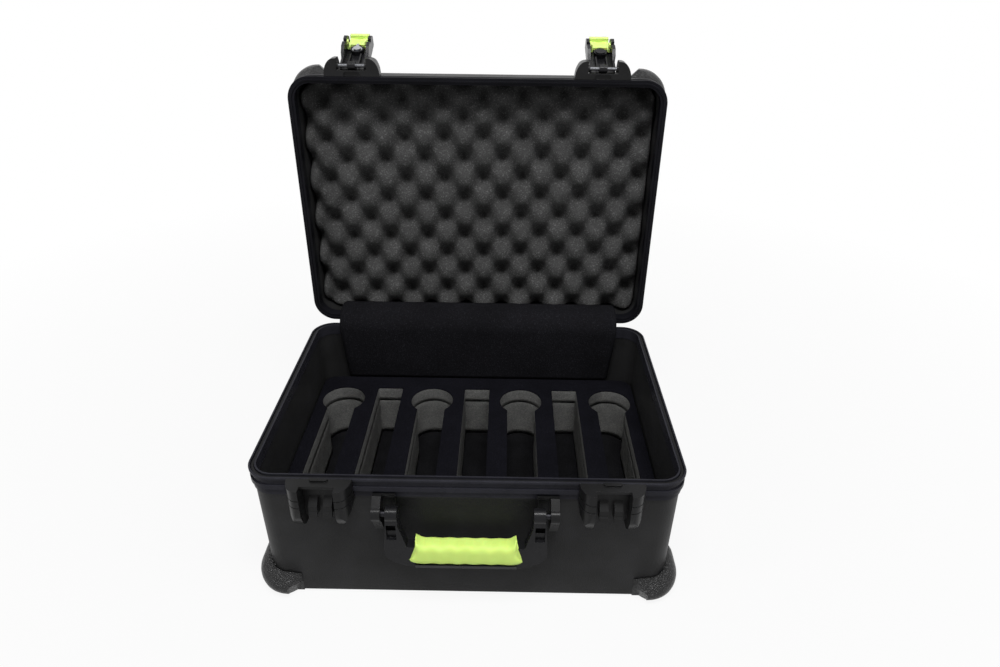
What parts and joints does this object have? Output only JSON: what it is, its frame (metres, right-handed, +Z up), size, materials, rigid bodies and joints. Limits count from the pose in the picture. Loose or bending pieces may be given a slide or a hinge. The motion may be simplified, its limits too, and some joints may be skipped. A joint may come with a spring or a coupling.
{
  "type": "hinged carrying case",
  "caption": "Hard carrying case with a hinged lid held by two lever latches with release sliders, a key lock, egg-crate and slotted foam, corner feet and a drop handle.",
  "frame": {"origin": "centre of the case's underside, on the floor", "axes": "+X right, +Y back, +Z up; the front with the handle faces -Y, the lid stands open at the back"},
  "size_m": [0.4716, 0.4238, 0.5347],
  "materials": {
    "shell": "fine pebble texture",
    "trim": "satin moulded",
    "foot": "coarse leather grain",
    "seal": "matt",
    "foam_top": "closed cell foam, matt",
    "foam_body": "cut foam, matt",
    "foam_pad": "cut foam, matt",
    "foam_crate": "egg-crate foam, matt",
    "foam_cover": "fine cell foam, matt",
    "lever": "satin moulded",
    "lime_plastic": "satin",
    "lime_rubber": "soft matt",
    "steel": "drawn",
    "chrome": "polished"
  },
  "bodies": {
    "base": {"base_shell": "shell", "base_rim": "trim", "rim_seal": "seal", "foot_front_left": "foot", "foot_front_right": "foot", "foot_back_left": "foot", "foot_back_right": "foot", "foam_top_sheet": "foam_top", "foam_tray_body": "foam_body", "foam_base_pad": "foam_pad", "hinge_cover_base": "foam_cover", "keeper_left": "trim", "keeper_right": "trim", "keeper_screws": "steel", "handle_bracket_left": "trim", "handle_bracket_right": "trim", "handle_pins": "steel", "bracket_screws": "steel", "base_hinge_leaves": "trim", "hinge_pins": "steel", "base_hinge_screws": "steel"},
    "lid": {"lid_shell": "shell", "lid_rim": "trim", "lid_foam": "foam_crate", "hinge_cover_lid": "foam_cover", "bumper_front_left": "foot", "bumper_front_right": "foot", "bumper_back_left": "foot", "bumper_back_right": "foot", "lid_hinge_leaves": "trim", "lid_hinge_screws": "steel", "latch_bracket_left": "trim", "latch_bracket_right": "trim", "latch_pins": "steel", "latch_screws": "steel"},
    "latch_lever_left": {"lever_left": "lever", "lock_barrel": "chrome", "release_spring_left": "steel"},
    "latch_lever_right": {"lever_right": "lever", "lever_cap": "lever", "release_spring_right": "steel"},
    "release_slider_left": {"release_left": "lime_plastic"},
    "release_slider_right": {"release_right": "lime_plastic"},
    "lock": {"lock_plug": "chrome"},
    "handle": {"handle_frame": "lever", "handle_grip": "lime_rubber"}
  },
  "joints": [
    {"name": "lid_hinge", "type": "hinge", "parent": "base", "child": "lid", "pos_m": [0, 0.1649, 0.1698], "axis": [1, 0, 0], "range_deg": [0, 90]},
    {"name": "latch_left_hinge", "type": "hinge", "parent": "lid", "child": "latch_lever_left", "pos_m": [-0.147, 0.1691, 0.5084], "axis": [1, 0, 0], "range_deg": [0, 160]},
    {"name": "latch_right_hinge", "type": "hinge", "parent": "lid", "child": "latch_lever_right", "pos_m": [0.147, 0.1691, 0.5084], "axis": [1, 0, 0], "range_deg": [0, 160]},
    {"name": "release_left_slide", "type": "slide", "parent": "latch_lever_left", "child": "release_slider_left", "axis": [0, 0.9397, 0.342], "range_m": [0, 0.003], "stiffness_N_per_m": 600, "springref_m": -0.001, "deforming": ["release_spring_left"]},
    {"name": "release_right_slide", "type": "slide", "parent": "latch_lever_right", "child": "release_slider_right", "axis": [0, 0.9397, 0.342], "range_m": [0, 0.003], "stiffness_N_per_m": 600, "springref_m": -0.001, "deforming": ["release_spring_right"]},
    {"name": "lock_turn", "type": "hinge", "parent": "latch_lever_left", "child": "lock", "pos_m": [-0.147, 0.20951, 0.52311], "axis": [0, 0.342, -0.9397], "range_deg": [0, 90]},
    {"name": "handle_hinge", "type": "hinge", "parent": "base", "child": "handle", "pos_m": [0, -0.173, 0.1345], "axis": [-1, 0, 0], "range_deg": [0, 90]}
  ]
}
